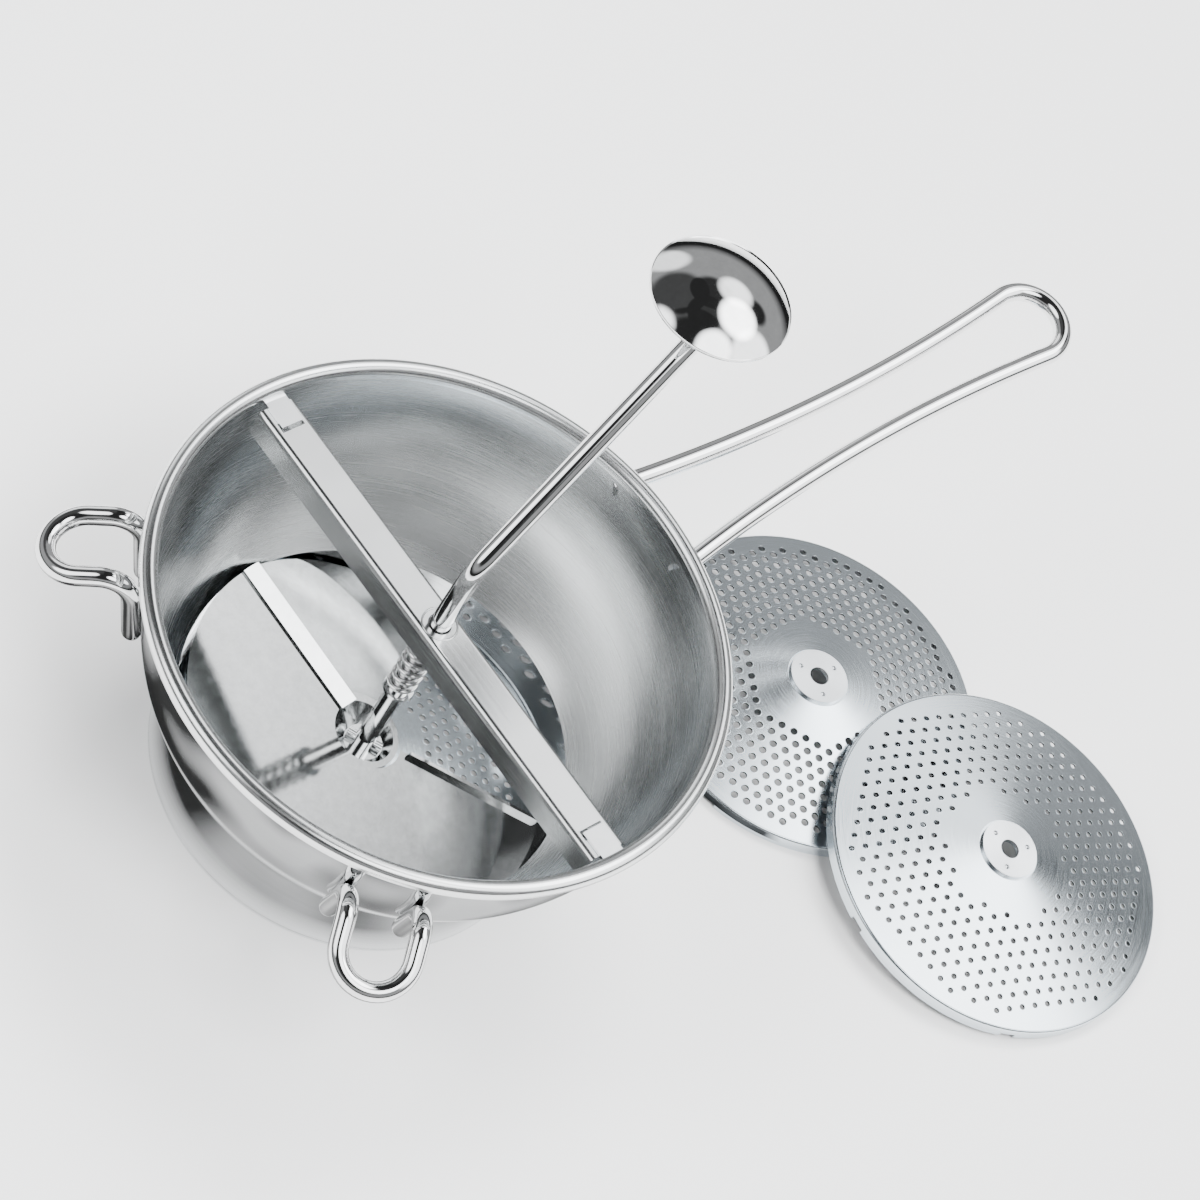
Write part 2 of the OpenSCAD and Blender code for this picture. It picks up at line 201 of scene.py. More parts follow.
neck_steel = metal("steel_satin_neck", (0.46, 0.47, 0.48), 0.3, 0.06, "none", 0.1)


# near-black hole walls: painted shade that keeps the punched holes dark
hole_shade_steel = metal("steel_hole_walls_painted_shade", (0.08, 0.085, 0.09), 0.4, 0.08, "none", 0.1)
# dark satin underside: painted shade, so that less light bounces into the space under each disc
underside_shade_steel = metal("steel_satin_underside_painted_shade", (0.22, 0.23, 0.24), 0.42, 0.08, "turned", 0.15)


def disc_metal(name, middle):
    return metal(name, COOL, 0.19, 0.05, "turned", 0.2, 0.55, "Z", middle, stain=0.3)


# ---------------------------------------------------------------- mesh helpers
class Sheet:
    """Collects vertices, and faces with a normal for each corner."""

    def __init__(self):
        self.verts, self.faces, self.normals, self.mats = [], [], [], []

    def vert(self, co):
        self.verts.append(tuple(co))
        return len(self.verts) - 1

    def face(self, corners, normals=None, mat=0):
        self.faces.append(tuple(corners))
        self.normals.extend([tuple(n) for n in normals] if normals else [(0.0, 0.0, 0.0)] * len(corners))
        self.mats.append(mat)

    def build(self, name, materials):
        mesh = bpy.data.meshes.new(name)
        mesh.from_pydata(self.verts, [], self.faces)
        for m in materials:
            mesh.materials.append(m)
        mesh.polygons.foreach_set("material_index", self.mats)
        mesh.polygons.foreach_set("use_smooth", [True] * len(self.faces))
        mesh.update()
        mesh.normals_split_custom_set(self.normals)
        obj = bpy.data.objects.new(name, mesh)
        bpy.context.scene.collection.objects.link(obj)
        return obj


def plain(name, verts, faces, materials, mats=None, sharp=40):
    mesh = bpy.data.meshes.new(name)
    mesh.from_pydata([tuple(v) for v in verts], [], faces)
    for m in materials:
        mesh.materials.append(m)
    if mats:
        mesh.polygons.foreach_set("material_index", mats)
    mesh.polygons.foreach_set("use_smooth", [True] * len(faces))
    mesh.update()
    mesh.set_sharp_from_angle(angle=math.radians(sharp))
    obj = bpy.data.objects.new(name, mesh)
    bpy.context.scene.collection.objects.link(obj)
    return obj


def lathe(name, profile, materials, around, where=AXIS, mats=None, sharp=40):
    """A closed, anticlockwise outline of (radius, height) turned about the vertical through where."""
    verts, faces, index, rings = [], [], [], []
    for r, z in profile:
        if r < 1e-7:
            verts.append(where + Vector((0, 0, z)))
            rings.append([len(verts) - 1] * around)
            continue
        start = len(verts)
        for k in range(around):
            verts.append(where + polar(360 * k / around, r, z))
        rings.append([start + k for k in range(around)])
    for i in range(len(profile)):
        a, b = rings[i], rings[(i + 1) % len(profile)]
        for k in range(around):
            m = (k + 1) % around
            corners = [a[k], a[m], b[m], b[k]]
            tidy = [c for j, c in enumerate(corners) if c != corners[j - 1]]
            if len(tidy) >= 3:
                faces.append(tidy)
                index.append(mats[i] if mats else 0)
    return plain(name, verts, faces, materials, index, sharp)


def arc(cx, cz, radius, start, end, steps):
    """Points of an outline along an arc, from one angle in degrees to another."""
    out = []
    for i in range(steps + 1):
        a = math.radians(start + (end - start) * i / steps)
        out.append((cx + radius * math.cos(a), cz + radius * math.sin(a)))
    return out


CAP_ANGLES = (18, 36, 54, 72)


def tube(name, path, radius, material, around, ends=("round", "round")):
    """A round wire along a path, with rounded or flat ends."""
    path = [Vector(p) for p in path]
    verts, faces, rings = [], [], []
    cap = [(radius * math.cos(math.radians(t)), radius * math.sin(math.radians(t))) for t in CAP_ANGLES]
    first_dir = (path[1] - path[0]).normalized()
    last_dir = (path[-1] - path[-2]).normalized()
    side = first_dir.orthogonal().normalized()
    for i, p in enumerate(path):
        ahead = (path[min(i + 1, len(path) - 1)] - path[max(i - 1, 0)]).normalized()
        side = (side - ahead * side.dot(ahead)).normalized()
        other = ahead.cross(side)
        rows = [(0.0, radius)]
        if i == 0 and ends[0] == "round":
            rows = [(-along, r) for along, r in cap] + rows
        if i == len(path) - 1 and ends[1] == "round":
            rows = rows + [(r, along) for along, r in cap]
        for along, r in rows:
            start = len(verts)
            for k in range(around):
                a = 2 * math.pi * k / around
                verts.append(p + ahead * along + (side * math.cos(a) + other * math.sin(a)) * r)
            rings.append(start)
    for a, b in zip(rings, rings[1:]):
        for k in range(around):
            m = (k + 1) % around
            faces.append([a + k, a + m, b + m, b + k])
    for start, centre_at, flip in (
        (rings[0], path[0] - first_dir * (radius if ends[0] == "round" else 0), True),
        (rings[-1], path[-1] + last_dir * (radius if ends[1] == "round" else 0), False),
    ):
        verts.append(centre_at)
        c = len(verts) - 1
        for k in range(around):
            m = (k + 1) % around
            faces.append([start + m, start + k, c] if flip else [start + k, start + m, c])
    return plain(name, verts, faces, [material], sharp=50)


def settle(obj, body, slot, *nodes):
    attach(obj, body)
    if nodes:
        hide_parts(*nodes)
    return obj


def repaint(node, material):
    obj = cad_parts[node]
    for s in obj.material_slots:
        s.material = material
    if not obj.material_slots:
        obj.data.materials.append(material)


# ---------------------------------------------------------------- camera
LOOK_AT = Vector((0, 0, RIM_Z))
AZ, EL, ROLL, REACH = 205.2, 51.63, 33.15, 1.5715
FOCAL_PX = 4124.6
spot = LOOK_AT + Vector((
    REACH * math.cos(math.radians(EL)) * math.cos(math.radians(AZ)),
    REACH * math.cos(math.radians(EL)) * math.sin(math.radians(AZ)),
    REACH * math.sin(math.radians(EL)),
))
ahead = (LOOK_AT - spot).normalized()
right = ahead.cross(Vector((0, 0, 1))).normalized()
up = right.cross(ahead)
roll = math.radians(ROLL)
cam_r = right * math.cos(roll) + up * math.sin(roll)
cam_u = -right * math.sin(roll) + up * math.cos(roll)
aim = Vector(((446.0 - 600.0) / FOCAL_PX, -(614.6 - 600.0) / FOCAL_PX, 1.0)).normalized()
turn = Vector((0, 0, 1)).rotation_difference(aim).to_matrix()
axes = turn @ Matrix((cam_r, cam_u, ahead))
cam = bpy.data.cameras.new("camera")
cam.sensor_width = 36.0
cam.lens = FOCAL_PX / 1200.0 * 36.0
cam.clip_start, cam.clip_end = 0.05, 20.0
camera = bpy.data.objects.new("camera", cam)
bpy.context.scene.collection.objects.link(camera)
pose = Matrix((axes[0], axes[1], -axes[2])).transposed().to_4x4()
pose.translation = spot
camera.matrix_world = pose
bpy.context.scene.camera = camera

# ---------------------------------------------------------------- bowl
T = SHEET
inner_end = math.degrees(math.acos((WALL_Z - SEAM_Z) / (WALL_R - T)))
outer_end = math.degrees(math.acos((WALL_Z - SEAM_Z) / WALL_R))
wall = arc(0, WALL_Z, WALL_R, -90 + outer_end, 0, 44) + arc(0, WALL_Z, WALL_R - T, 0, -90 + inner_end, 44)
wall_mats = [0] * 45 + [1] * 45
bowl = lathe("bowl_wall", wall, [outside, brushed], 192, mats=wall_mats)
settle(bowl, "bowl", "brushed_bowl", "bowl_shell")

inner = WALL_R - T
mid, curl = (inner + RIM_R) / 2, (RIM_R - inner) / 2
top = RIM_Z - curl
rim_line = (
    [(RIM_R - T, WALL_Z + 0.001), (RIM_R, WALL_Z + 0.001)]
    + arc(mid, top, curl, 0, 180, 24)
    + [(inner, WALL_Z), (inner + T, WALL_Z)]
    + arc(mid, top, curl - T, 180, 0, 14)
)
rim = lathe("rolled_rim", rim_line, [rim_steel], 192)
settle(rim, "bowl", "polished_rim", "rim_flange")

low_z, high_z = low("collar")[2], high("collar")[2]
bead = 1.6 * MM
collar_line = [
    (COLLAR_R - T, low_z), (COLLAR_R - 0.0003, low_z), (COLLAR_R, low_z + 0.0003),
    (COLLAR_R, low_z + 0.0012), (COLLAR_R, high_z - bead - 0.0018), (COLLAR_R, high_z - bead - 0.0006),
    (COLLAR_R + 0.0004, high_z - bead), (COLLAR_R + 0.001, high_z - bead * 0.7),
    (COLLAR_R + 0.001, high_z - bead * 0.3), (COLLAR_R + 0.0006, high_z),
    (COLLAR_R - T, high_z),
]
collar = lathe("bowl_collar", collar_line, [outside], 192)
settle(collar, "bowl", "polished_collar", "collar")
repaint("ledge_ring", outside)
repaint("latch_lugs", small_steel)

# ---------------------------------------------------------------- long handle
NECK, REACH_OUT, BEND, WIRE = 12.2 * MM, 85 * MM, 850 * MM, 4 * MM
NECK_RUN, RISE, ROOT_X, ROOT_Z = 130 * MM, 6.0, 111 * MM, 106 * MM
end_a = math.asin(REACH_OUT / BEND)
neck_a = math.asin(NECK_RUN / BEND)
end_half = NECK + BEND * (1 - math.cos(end_a))
end_r = end_half / math.cos(end_a)
flat = []
for i in range(41):
    a = -neck_a + (neck_a + end_a) * i / 40
    flat.append((NECK_RUN + BEND * math.sin(a), NECK + BEND * (1 - math.cos(a))))
loop_x = NECK_RUN + REACH_OUT + end_r * math.sin(end_a)
turn_a = math.pi / 2 + end_a
for i in range(1, 28):
    a = turn_a - 2 * turn_a * i / 28
    flat.append((loop_x + end_r * math.cos(a), end_r * math.sin(a)))
flat += [(x, -y) for x, y in reversed(flat[:41])]
tilt = Matrix.Rotation(math.radians(-RISE), 3, "Y")
handle_path = [Vector((ROOT_X, 0, ROOT_Z)) + tilt @ Vector((x, y, 0)) for x, y in flat]


def outside_wall(path, depth):
    """Starts and ends a path at the bowl's wall, a little way into the sheet."""
    mid_wall = Vector((0, 0, WALL_Z))
    keep = [p for p in path if (p - mid_wall).length > WALL_R - depth]
    return keep


handle = tube("handle_wire", outside_wall(handle_path, 0.0012), WIRE, chrome, 32, ("flat", "flat"))
settle(handle, "bowl", "polished_wire", "long_handle")

# ---------------------------------------------------------------- rests
CLIMB, DIP = math.radians(73.3), math.radians(25)
BEND_R, LEG, OUT, HALF = 11 * MM, 20.9 * MM, 8 * MM, 14.5 * MM
FOOT = (108.5 * MM, 68 * MM)


def rest_path(angle):
    knee = (FOOT[0] + LEG * math.cos(CLIMB), FOOT[1] + LEG * math.sin(CLIMB))
    hub = (knee[0] + BEND_R * math.sin(CLIMB), knee[1] - BEND_R * math.cos(CLIMB))
    leg = [(FOOT[0] + (knee[0] - FOOT[0]) * i / 6, FOOT[1] + (knee[1] - FOOT[1]) * i / 6) for i in range(7)]
    for i in range(1, 15):
        a = math.pi / 2 + CLIMB - (CLIMB + DIP) * i / 14
        leg.append((hub[0] + BEND_R * math.cos(a), hub[1] + BEND_R * math.sin(a)))
    last = leg[-1]
    for i in range(1, 4):
        leg.append((last[0] + OUT * math.cos(DIP) * i / 3, last[1] - OUT * math.sin(DIP) * i / 3))
    near = [Vector((x, HALF, z)) for x, z in leg]
    x0, z0 = leg[-1]
    loop = []
    for i in range(1, 24):
        a = math.pi / 2 - math.pi * i / 24
        run = HALF * math.cos(a)
        loop.append(Vector((x0 + run * math.cos(DIP), HALF * math.sin(a), z0 - run * math.sin(DIP))))
    far = [Vector((p.x, -p.y, p.z)) for p in reversed(near)]
    spin = Matrix.Rotation(math.radians(angle), 3, "Z")
    return [spin @ p for p in near + loop + far]


for node, angle, label in (("rest_left", 135, "rest_wire_left"), ("rest_right", -135, "rest_wire_right")):
    rest = tube(label, rest_path(angle), WIRE - 0.00001, chrome, 32)
    settle(rest, "bowl", "polished_wire", node)

# ---------------------------------------------------------------- crossbar and spring
repaint("crossbar", bar_steel)
BAR_TOP = high("crossbar")[2]
ring_line = arc(7.2 * MM, BAR_TOP - 0.0001, 0.45 * MM, -20, 200, 8)
raised = lathe("crossbar_collar", ring_line, [bar_steel], 64)
settle(raised, "crossbar", "pressed_bar")

coil_low, coil_high = low("spring")[2], high("spring")[2]
COIL_R, COIL_WIRE, TURNS = 5.4 * MM, 0.9 * MM, 12.5
# the lower turns are open and take this share of the height; the rest lie close under the bar
OPEN_PART, OPEN_SHARE = 4.5 / TURNS, 0.6
coil = []
steps = int(TURNS * 28)
span = coil_high - coil_low - 2 * COIL_WIRE
for i in range(steps + 1):
    t = i / steps
    if t < OPEN_PART:
        ease = t / OPEN_PART * OPEN_SHARE
    else:
        ease = OPEN_SHARE + (t - OPEN_PART) / (1 - OPEN_PART) * (1 - OPEN_SHARE)
    coil.append(polar(360 * TURNS * t, COIL_R, coil_low + COIL_WIRE + span * ease))
helix = tube("coil_spring", coil, COIL_WIRE - 0.00002, spring_steel, 14)
settle(helix, "crossbar", "spring_wire", "spring")
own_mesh(helix)

# ---------------------------------------------------------------- rotor
CRANK = centre("knob_dome")
crank_run = math.hypot(CRANK.x, CRANK.y)
crank_az = math.degrees(math.atan2(CRANK.y, CRANK.x))
ROD_LOW, BEND_Z, ROD_BEND = low("crank_rod")[2], 148 * MM, 16 * MM
END_Z = low("knob_pin")[2] - ROD_R + 0.6 * MM
lean = math.atan2(crank_run, END_Z - BEND_Z)
cut = ROD_BEND * math.tan(lean / 2)
side_line = [(0, ROD_LOW + (BEND_Z - cut - ROD_LOW) * i / 12) for i in range(13)]
for i in range(1, 17):
    a = lean * i / 16
    side_line.append((ROD_BEND * (1 - math.cos(a)), BEND_Z - cut + ROD_BEND * math.sin(a)))
fx, fz = side_line[-1]
for i in range(1, 13):
    side_line.append((fx + (crank_run - fx) * i / 12, fz + (END_Z - fz) * i / 12))
rod_path = [polar(crank_az, x, z) for x, z in side_line]
rod = tube("crank_wire", rod_path, ROD_R - 0.00001, chrome, 36, ("flat", "round"))
settle(rod, "rotor", "polished_wire", "crank_rod")
repaint("spring_seat", small_steel)
repaint("cross_pin", small_steel)
repaint("blade", blade_steel)
repaint("blade_lip", chrome)
repaint("knob_pin", small_steel)

# ---------------------------------------------------------------- knob
K_R = (high("knob_dome")[0] - low("knob_dome")[0]) / 2
K_TOP, K_LOW = high("knob_dome")[2], low("knob_dome")[2]
ROLL_R = 1.4 * MM
K_EDGE = K_LOW + ROLL_R
K_RISE = K_TOP - K_EDGE
cap = (K_R * K_R + K_RISE * K_RISE) / (2 * K_RISE)
reach_a = math.degrees(math.asin((K_R - 0.6 * MM) / cap))
outer_cap = [
    (cap * math.sin(math.radians(a)), K_TOP - cap * (1 - math.cos(math.radians(a))))
    for a in [reach_a * i / 26 for i in range(26, 0, -1)]
]
K_SHEET = 1 * MM
under = cap - K_SHEET
inner_cap = [
    (under * math.sin(math.radians(a)), K_TOP - K_SHEET - under * (1 - math.cos(math.radians(a))))
    for a in [reach_a * 0.96 * i / 18 for i in range(1, 19)]
]
rolled = arc(K_R - ROLL_R, K_EDGE, ROLL_R, 190, 390, 16)
dome_line = outer_cap + [(0, K_TOP), (0, K_TOP - K_SHEET)] + inner_cap + rolled
knob_at = Vector((CRANK.x, CRANK.y, 0))
dome = lathe("knob_cap", dome_line, [knob_steel], 96, knob_at, sharp=60)
settle(dome, "knob", "mirror_knob", "knob_dome")
repaint("knob_core", neck_steel)
repaint("knob_washer", neck_steel)

# ---------------------------------------------------------------- strainer discs
DISC_R, SKIRT, THICK, HUB = 78.5 * MM, 5 * MM, 0.8 * MM, 13 * MM
CONE = 10.6 * MM
TAN = (CONE - THICK) / (DISC_R - HUB - 0.001)
FROM, TO = 29 * MM, 72 * MM
BORE = 4.3 * MM


def sheet_top(r):
    return SKIRT + THICK + (DISC_R - r) * TAN


def cone_normal(x, y):
    r = math.hypot(x, y) or 1.0
    n = Vector((x / r * TAN, y / r * TAN, 1.0))
    return n.normalized()


def hole_places(pitch):
    row = pitch * math.sin(math.radians(60))
    rows = math.ceil(TO / row)
    out = []
    for j in range(-rows, rows + 1):
        for i in range(-rows - 2, rows + 3):
            x, y = (i + (abs(j) % 2) / 2) * pitch, j * row
            if FROM < math.hypot(x, y) < TO:
                out.append((x, y))
    return out


def perforated(name, pitch, d, material, where, sides=14):
    """Pressed steel disc: skirt with notches, rounded shoulder, shallow cone, holes with raised edges."""
    s = Sheet()
    holes = hole_places(pitch)
    around = 144
    shoulder = DISC_R - 1.3 * MM
    lip = 0.3 * MM
    flat_r = HUB + 1.0 * MM
    points, edges, owner = [], [], []

    def ring_of(cx, cy, r, n, who, phase=0.0):
        start = len(points)
        for k in range(n):
            a = 2 * math.pi * (k + phase) / n
            points.append(Vector((cx + r * math.cos(a), cy + r * math.sin(a))))
            owner.append(who)
            edges.append((start + k, start + (k + 1) % n))
        return start

    ring_of(0, 0, shoulder, around, -1)
    ring_of(0, 0, flat_r, around, -2)
    firsts = [ring_of(x, y, d / 2 + lip, sides, i) for i, (x, y) in enumerate(holes)]
    for r in (shoulder - 2.6 * MM, (FROM + flat_r) / 2, flat_r + 3 * MM):
        for k in range(72):
            a = 2 * math.pi * (k + 0.5) / 72
            p = Vector((r * math.cos(a), r * math.sin(a)))
            if all((p.x - x) ** 2 + (p.y - y) ** 2 > (d / 2 + 2 * lip) ** 2 for x, y in holes):
                points.append(p)
                owner.append(-3)
    co, _, tris, origin, _, _ = geometry.delaunay_2d_cdt(points, edges, [], 0, 1e-9)
    who = [owner[o[0]] if o else -3 for o in origin]
    tops = [s.vert((p.x, p.y, sheet_top(p.length))) for p in co]
    unders = [s.vert((p.x, p.y, sheet_top(p.length) - THICK)) for p in co]
    for t in tris:
        owners = {who[i] for i in t}
        if len(owners) == 1 and (owners != {-3}):
            only = owners.pop()
            if only != -1:
                continue
        a, b, c = (co[i] for i in t)
        if (b - a).cross(c - a) < 0:
            t = (t[0], t[2], t[1])
        normals = [cone_normal(co[i].x, co[i].y) for i in t]
        s.face([tops[i] for i in t], normals)
        s.face([unders[i] for i in reversed(t)], [-n for n in reversed(normals)], 2)
    back = {}
    for new, o in enumerate(origin):
        for old in o:
            back[old] = new
    for (x, y), start in zip(holes, firsts):
        n_up = cone_normal(x, y)
        rings = []
        base = [tops[back[start + k]] for k in range(sides)]
        under = [unders[back[start + k]] for k in range(sides)]
        rings.append(base)
        for r, lift in ((d / 2 + 0.12 * MM, 0.12 * MM), (d / 2, 0.05 * MM), (d / 2, -THICK)):
            row = []
            for k in range(sides):
                a = 2 * math.pi * k / sides
                px, py = x + r * math.cos(a), y + r * math.sin(a)
                row.append(s.vert((px, py, sheet_top(math.hypot(px, py)) + lift)))
            rings.append(row)
        rings.append(under)
        turns = [2 * math.pi * k / sides for k in range(sides)]
        radial = [Vector((math.cos(a), math.sin(a), 0)) for a in turns]
        kinds = [
            (lambda k: n_up, lambda k: (n_up + radial[k] * 0.25).normalized()),
            (lambda k: (n_up + radial[k] * 0.25).normalized(), lambda k: (n_up - radial[k]).normalized()),
            (lambda k: -radial[k], lambda k: -radial[k]),
            (lambda k: -n_up, lambda k: -n_up),
        ]
        # the wall and lower edge of each hole take the near-black painted shade material
        for (one, two), (fa, fb), mat in zip(zip(rings, rings[1:]), kinds, (0, 0, 1, 1)):
            for k in range(sides):
                m = (k + 1) % sides
                s.face([one[k], one[m], two[m], two[k]], [fa(k), fa(m), fb(m), fb(k)], mat)
    # flat centre with the bore
    top_z, low_z = SKIRT + CONE, SKIRT + CONE - THICK
    inner_top = [s.vert(polar(360 * k / around, BORE, top_z)) for k in range(around)]
    inner_low = [s.vert(polar(360 * k / around, BORE, low_z)) for k in range(around)]
    edge_top = [tops[back[around + k]] for k in range(around)]
    edge_low = [unders[back[around + k]] for k in range(around)]
    for k in range(around):
        m = (k + 1) % around
        s.face([inner_top[k], edge_top[k], edge_top[m], inner_top[m]], [(0, 0, 1)] * 4)
        s.face([inner_low[m], edge_low[m], edge_low[k], inner_low[k]], [(0, 0, -1)] * 4)
        s.face([inner_low[k], inner_top[k], inner_top[m], inner_low[m]])
    # rounded shoulder and notched skirt
    notch_w, notch_h = 5 * MM, 2.2 * MM
    notch = [60 * k + 15 for k in range(6)]
    bend = DISC_R - shoulder
    z_s = sheet_top(shoulder)
    outer_rows = []
    tip = math.degrees(math.atan(TAN))
    for i in range(1, 7):
        a = math.radians(90 - tip - (90 - tip) * i / 6)
        r = shoulder + bend * (math.cos(a) - math.sin(math.radians(tip))) / (1 - math.sin(math.radians(tip)))
        z = z_s - bend * (math.cos(math.radians(tip)) - math.sin(a))
        outer_rows.append((r, z, math.cos(a), math.sin(a)))
    outer_top = [[tops[back[k]] for k in range(around)]]
    for r, z, _, _ in outer_rows:
        outer_top.append([s.vert(polar(360 * k / around, r, z)) for k in range(around)])
    inside_r = DISC_R - THICK
    inside_z = z_s - bend - THICK * 0.3
    inner_shoulder = [s.vert(polar(360 * k / around, inside_r, inside_z)) for k in range(around)]
    slopes = [(math.sin(math.radians(tip)), math.cos(math.radians(tip)))]
    slopes += [(c, sn) for _, _, c, sn in outer_rows]
    for i in range(len(outer_top) - 1):
        for k in range(around):
            m = (k + 1) % around
            (ca, sa), (cb, sb) = slopes[i], slopes[i + 1]
            s.face([outer_top[i][k], outer_top[i + 1][k], outer_top[i + 1][m], outer_top[i][m]],
                   [polar(360 * k / around, ca, sa), polar(360 * k / around, cb, sb),
                    polar(360 * m / around, cb, sb), polar(360 * m / around, ca, sa)])
    for k in range(around):
        m = (k + 1) % around
        s.face([unders[back[m]], inner_shoulder[m], inner_shoulder[k], unders[back[k]]])

    def foot(k):
        a = 360 * (k + 0.5) / around
        for n in notch:
            if abs((a - n + 180) % 360 - 180) < math.degrees(notch_w / DISC_R):
                return notch_h
        return 0.0

    cache = {}

    def skirt_vert(k, r, z):
        key = (k % around, round(r, 6), round(z, 6))
        if key not in cache:
            cache[key] = s.vert(polar(360 * (k % around) / around, r, z))
        return cache[key]

    for k in range(around):
        m = (k + 1) % around
        z = foot(k)
        oa, ob = skirt_vert(k, DISC_R, z), skirt_vert(k + 1, DISC_R, z)
        ia, ib = skirt_vert(k, inside_r, z), skirt_vert(k + 1, inside_r, z)
        na, nb = polar(360 * k / around, 1), polar(360 * (k + 1) / around, 1)
        s.face([outer_top[-1][k], oa, ob, outer_top[-1][m]], [na, na, nb, nb])
        s.face([inner_shoulder[m], ib, ia, inner_shoulder[k]], [-nb, -nb, -na, -na])
        s.face([oa, ia, ib, ob])
        before = foot(k - 1)
        if before != z:
            lo, hi = min(before, z), max(before, z)
            corners = ((DISC_R, lo), (DISC_R, hi), (inside_r, hi), (inside_r, lo))
            quad = [skirt_vert(k, r, height) for r, height in corners]
            s.face(quad if before > z else quad[::-1])
    # materials: top face, painted shade in the hole walls, painted shade on the darkened underside
    obj = s.build(name, [material, hole_shade_steel, underside_shade_steel])
    obj.data.transform(where)
    return obj


fitted_at = Matrix.Translation((0, 0, low("fitted_disc")[2]))
c = centre("coarse_disc")
coarse_mid = (c.x, c.y)
coarse_at = Matrix.Translation((c.x, c.y, 0))
LEAN, LEAN_TO, GAP = 5.4, 100.0, 107 * MM
fine_mid = (c.x - GAP * math.cos(math.radians(LEAN_TO)), c.y - GAP * math.sin(math.radians(LEAN_TO)))
fine_at = (
    Matrix.Translation((fine_mid[0], fine_mid[1], 0))
    @ Matrix.Rotation(math.radians(LEAN_TO), 4, "Z")
    @ Matrix.Translation((-DISC_R, 0, 0))
    @ Matrix.Rotation(math.radians(-LEAN), 4, "Y")
    @ Matrix.Translation((DISC_R, 0, 0))
)
fitted_steel = disc_metal("steel_disc_fitted", (0, 0, 0))
coarse_steel = disc_metal("steel_disc_coarse", (coarse_mid[0], coarse_mid[1], 0))
fine_steel = disc_metal("steel_disc_fine", (fine_mid[0], fine_mid[1], 0))
for name, node, body, pitch, d, mat, at in (
    ("strainer_fitted", "fitted_disc", "bowl", 5.8, 2.8, fitted_steel, fitted_at),
    ("strainer_coarse", "coarse_disc", "coarse_spare", 5.8, 3.2, coarse_steel, coarse_at),
    ("strainer_fine", "fine_disc", "fine_spare", 6.4, 2.4, fine_steel, fine_at),
):
    disc = perforated(name, pitch * MM, d * MM, mat, at)
    settle(disc, body, "disc_sheet", node)
for node, mid in (("fitted_hub", (0, 0)), ("coarse_hub", coarse_mid), ("fine_hub", fine_mid)):
    label = "steel_turned_" + node
    repaint(node, metal(label, (0.74, 0.76, 0.78), 0.2, 0.05, "turned", 0.15, 0.5, "Z", (*mid, 0), stain=0.2))

# ---------------------------------------------------------------- floor, world, lights
floor_mat, tree, bsdf = node_tree("floor_pale")
bsdf.inputs["Base Color"].default_value = (0.9, 0.9, 0.9, 1)
bsdf.inputs["Roughness"].default_value = 0.9
floor = plain("floor", [(-6, -6, 0), (6, -6, 0), (6, 6, 0), (-6, 6, 0)], [(0, 1, 2, 3)], [floor_mat])

# a soft-edged dark ring on the floor, seen only in the polished steel: painted shade for the steel to
# reflect, standing in for the floor's shade near the bowl
painted_shade_mat, tree, bsdf = node_tree("painted_shade_ring")
bsdf.inputs["Base Color"].default_value = (0.02, 0.02, 0.02, 1)
bsdf.inputs["Roughness"].default_value = 1.0
coords = tree.nodes.new("ShaderNodeTexCoord")
parts = tree.nodes.new("ShaderNodeSeparateXYZ")
tree.links.new(coords.outputs["UV"], parts.inputs[0])
hump = maths(tree, "MULTIPLY", parts.outputs[0], maths(tree, "SUBTRACT", 1.0, parts.outputs[0]))
edge = spread(tree, hump, 0.0, 1.0, 0.0, 0.07)
patchy = spread(tree, noise_at(tree, coords.outputs["Object"], 11.0, 1.0), 0.5, 1.0, 0.38, 0.60)
tree.links.new(maths(tree, "MULTIPLY", edge, patchy), bsdf.inputs["Alpha"])
RING_NEAR, RING_FAR, RING_UP, RING_STEPS = 0.084, 0.19, 0.002, 72
ring_verts, ring_faces = [], []
for k in range(RING_STEPS):
    for r in (RING_NEAR, RING_FAR):
        ring_verts.append(polar(360 * k / RING_STEPS, r, RING_UP))
    m = (k + 1) % RING_STEPS
    ring_faces.append((2 * k, 2 * k + 1, 2 * m + 1, 2 * m))
card = plain("painted_shade_ring_card", ring_verts, ring_faces, [painted_shade_mat])
card.data.uv_layers.new(name="across")
# hidden from the camera, from diffuse light and from shadows, so the painted shade shows only in reflections
card.visible_camera = False
card.visible_diffuse = False
card.visible_shadow = False


def direction(az, el):
    a, e = math.radians(az), math.radians(el)
    return (math.cos(e) * math.cos(a), math.cos(e) * math.sin(a), math.sin(e))


world = bpy.data.worlds.new("studio")
bpy.context.scene.world = world
world.use_nodes = True
tree = world.node_tree
tree.nodes.clear()
coords = tree.nodes.new("ShaderNodeTexCoord").outputs["Generated"]
BASE = 0.42
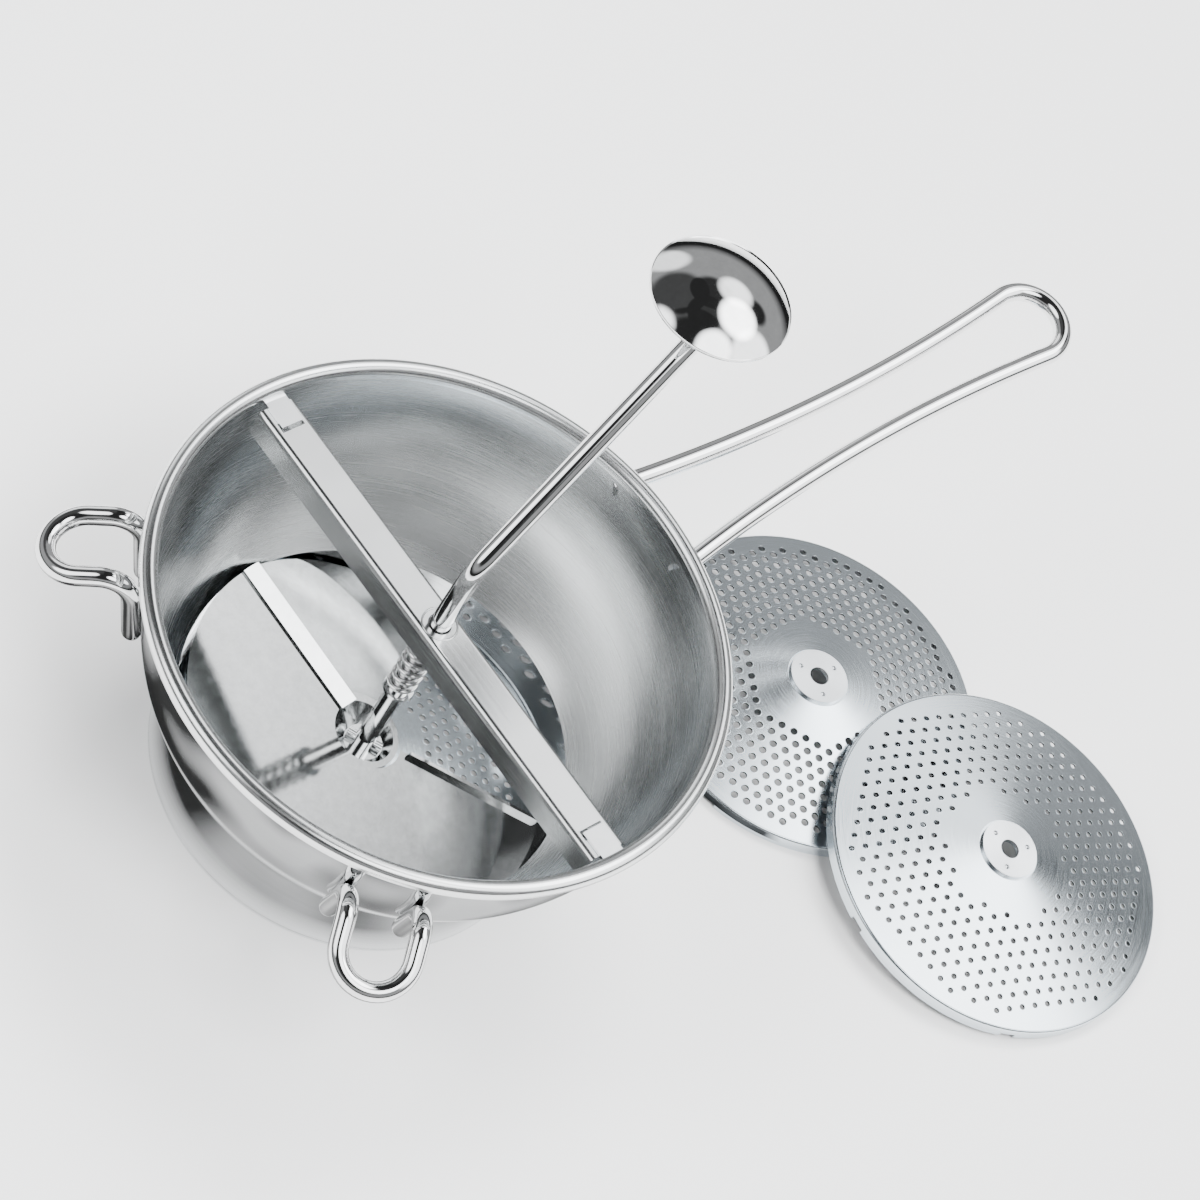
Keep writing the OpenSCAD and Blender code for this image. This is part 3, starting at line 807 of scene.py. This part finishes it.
# azimuth, elevation, inner and outer half angle, brightness added
PATCHES = [
    (14, 50, 9, 16, 2.7),
    (337, 62, 12, 20, 7.0),
    (349, 42, 7, 12, -0.39),
    (42, 63, 12, 18, -0.38),
    (205, 58, 24, 38, -0.39),
    (60, 86, 10, 18, -0.36),
    (95, 56, 18, 25, -0.34),
    (300, 40, 16, 24, 3.2),
    (150, 42, 14, 22, 3.6),
    (250, 62, 12, 20, 5.2),
    (70, 22, 10, 16, 1.6),
]
total = None
for az, el, near, far, gain in PATCHES:
    dot = tree.nodes.new("ShaderNodeVectorMath")
    dot.operation = "DOT_PRODUCT"
    dot.inputs[1].default_value = direction(az, el)
    norm = tree.nodes.new("ShaderNodeVectorMath")
    norm.operation = "NORMALIZE"
    tree.links.new(coords, norm.inputs[0])
    tree.links.new(norm.outputs[0], dot.inputs[0])
    step = tree.nodes.new("ShaderNodeMapRange")
    step.interpolation_type = "SMOOTHSTEP"
    step.inputs["From Min"].default_value = math.cos(math.radians(far))
    step.inputs["From Max"].default_value = math.cos(math.radians(near))
    step.inputs["To Min"].default_value = 0.0
    step.inputs["To Max"].default_value = gain
    tree.links.new(dot.outputs["Value"], step.inputs["Value"])
    total = maths(tree, "ADD", step.outputs[0], BASE if total is None else total)
height = tree.nodes.new("ShaderNodeSeparateXYZ")
tree.links.new(norm.outputs[0], height.inputs[0])
horizon = spread(tree, height.outputs[2], 0.05, 1.0, 0.08, 0.26)
glow = maths(tree, "MULTIPLY", maths(tree, "MAXIMUM", total, 0.03), horizon)
back = tree.nodes.new("ShaderNodeBackground")
tree.links.new(glow, back.inputs["Strength"])
back.inputs["Color"].default_value = (0.97, 0.985, 1.0, 1)
plain_back = tree.nodes.new("ShaderNodeBackground")
plain_back.inputs["Color"].default_value = (1, 1, 1, 1)
plain_back.inputs["Strength"].default_value = 1.0
path = tree.nodes.new("ShaderNodeLightPath")
mix = tree.nodes.new("ShaderNodeMixShader")
tree.links.new(path.outputs["Is Camera Ray"], mix.inputs[0])
tree.links.new(back.outputs[0], mix.inputs[1])
tree.links.new(plain_back.outputs[0], mix.inputs[2])
out = tree.nodes.new("ShaderNodeOutputWorld")
tree.links.new(mix.outputs[0], out.inputs[0])


def soft_light(name, az, el, dist, size, power):
    lamp = bpy.data.lights.new(name, "AREA")
    lamp.shape = "DISK"
    lamp.size = size
    lamp.energy = power
    obj = bpy.data.objects.new(name, lamp)
    bpy.context.scene.collection.objects.link(obj)
    obj.location = Vector(direction(az, el)) * dist + Vector((0.05, 0, 0.05))
    obj.rotation_euler = Vector(direction(az, el)).to_track_quat("Z", "Y").to_euler()
    obj.visible_glossy = False
    return obj


soft_light("key", 250, 62, 2.4, 1.0, 60)
soft_light("back", 34, 59, 2.4, 1.1, 60)
soft_light("fill", 140, 46, 2.4, 0.9, 34)
